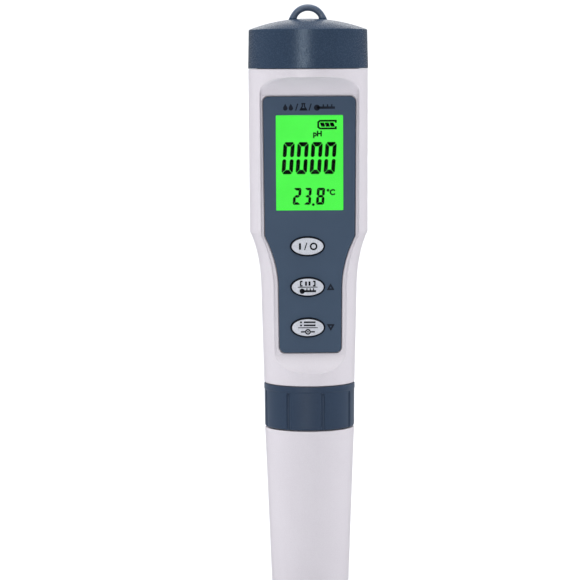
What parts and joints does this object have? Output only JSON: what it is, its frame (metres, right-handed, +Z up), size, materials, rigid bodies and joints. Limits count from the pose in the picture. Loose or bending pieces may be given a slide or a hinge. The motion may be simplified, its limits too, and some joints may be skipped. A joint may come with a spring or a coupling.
{
  "type": "pen water tester",
  "caption": "Pen-shaped water tester with a lit display, press keys, screw-on battery cap and a collar-clamped probe under a pull-off sheath.",
  "frame": {"origin": "centre of the protective sheath's flat bottom", "axes": "+Z up along the pen to the battery cap, -Y out of the display, +X to the right of someone reading it"},
  "size_m": [0.038, 0.038, 0.1878],
  "materials": {
    "housing_shell": "pearly off-white moulded shell, satin gloss",
    "slate_plastic": "slate blue plastic with a fine mineral speckle",
    "panel_overlay": "slate grey bezel, fine grain",
    "window": "clear window",
    "lcd": "lit green display with dark segments",
    "diffuser": "milky light guide",
    "key_grey": "light silver-grey key",
    "rubber_black": "soft black rubber",
    "silicone": "milky grey silicone",
    "circuit_board": "green solder mask",
    "black_component": "moulded black epoxy",
    "inner_plastic": "plain white inner moulding",
    "steel": "nickel-plated steel",
    "gold_contact": "gold-plated contact",
    "battery_jacket": "blue foil jacket with bare metal ends",
    "electrode_glass": "thin blown glass",
    "ceramic": "porous white ceramic",
    "sponge": "damp cellulose sponge"
  },
  "bodies": {
    "housing": {"main_housing": "housing_shell", "front_panel": "panel_overlay", "panel_gasket": "rubber_black", "display_window": "window", "lcd_glass": "lcd", "backlight_panel": "diffuser", "zebra_connector": "rubber_black", "display_frame": "inner_plastic", "main_board": "circuit_board", "controller_chip": "black_component", "amplifier_chip": "black_component", "clock_crystal": "steel", "inner_chassis": "inner_plastic", "battery_cell_left": "battery_jacket", "battery_cell_right": "battery_jacket", "cell_spring": "steel", "cell_contact": "steel", "probe_socket": "rubber_black", "socket_seal": "rubber_black", "socket_ribbon": "inner_plastic", "neck_seal": "rubber_black", "board_screw_1": "steel", "board_screw_2": "steel", "board_screw_3": "steel", "power_switch": "steel", "hold_switch": "steel", "mode_switch": "steel"},
    "contact_carrier": {"contact_carrier": "inner_plastic", "bridge_plate": "steel", "bridge_spring": "steel"},
    "battery_cap": {"battery_cap": "slate_plastic"},
    "power_button": {"power_button": "key_grey", "power_plunger": "black_component"},
    "hold_button": {"hold_button": "key_grey", "hold_plunger": "black_component"},
    "mode_button": {"mode_button": "key_grey", "mode_plunger": "black_component"},
    "probe_module": {"probe_body": "housing_shell", "probe_seal": "rubber_black", "pin_carrier": "black_component", "contact_pin_1": "gold_contact", "contact_pin_2": "gold_contact", "contact_pin_3": "gold_contact", "contact_pin_4": "gold_contact", "contact_pin_5": "gold_contact", "contact_pin_6": "gold_contact", "sensor_plate": "black_component", "glass_electrode": "electrode_glass", "electrode_wire": "steel", "reference_junction": "ceramic", "tds_pin_left": "steel", "tds_pin_right": "steel", "temperature_sensor": "steel"},
    "collar": {"collar_ring": "slate_plastic"},
    "sheath": {"probe_sheath": "housing_shell", "sheath_seal": "silicone", "storage_sponge": "sponge"}
  },
  "joints": [
    {"name": "cap_lift", "type": "slide", "parent": "housing", "child": "contact_carrier", "axis": [0, 0, 1], "range_m": [0, 0.0106]},
    {"name": "cap_turn", "type": "hinge", "parent": "contact_carrier", "child": "battery_cap", "pos_m": [0, 0, 0.1755], "axis": [0, 0, 1], "range_deg": [0, 1260]},
    {"name": "power_press", "type": "slide", "parent": "housing", "child": "power_button", "axis": [0, 1, 0], "range_m": [0, 0.0006], "stiffness_N_per_m": 400, "springref_m": -0.0005},
    {"name": "hold_press", "type": "slide", "parent": "housing", "child": "hold_button", "axis": [0, 1, 0], "range_m": [0, 0.0006], "stiffness_N_per_m": 400, "springref_m": -0.0005},
    {"name": "mode_press", "type": "slide", "parent": "housing", "child": "mode_button", "axis": [0, 1, 0], "range_m": [0, 0.0006], "stiffness_N_per_m": 400, "springref_m": -0.0005},
    {"name": "probe_slide", "type": "slide", "parent": "housing", "child": "probe_module", "axis": [0, 0, -1], "range_m": [0, 0.0121]},
    {"name": "collar_turn", "type": "hinge", "parent": "probe_module", "child": "collar", "pos_m": [0, 0, 0.06], "axis": [0, 0, -1], "range_deg": [0, 1440]},
    {"name": "sheath_slide", "type": "slide", "parent": "probe_module", "child": "sheath", "axis": [0, 0, -1], "range_m": [0, 0.05]}
  ],
  "couplings": [
    {"joint": "cap_lift", "follows": "cap_turn", "m_per_rad": 0.00047746},
    {"joint": "probe_slide", "follows": "collar_turn", "m_per_rad": 0.00047746}
  ]
}
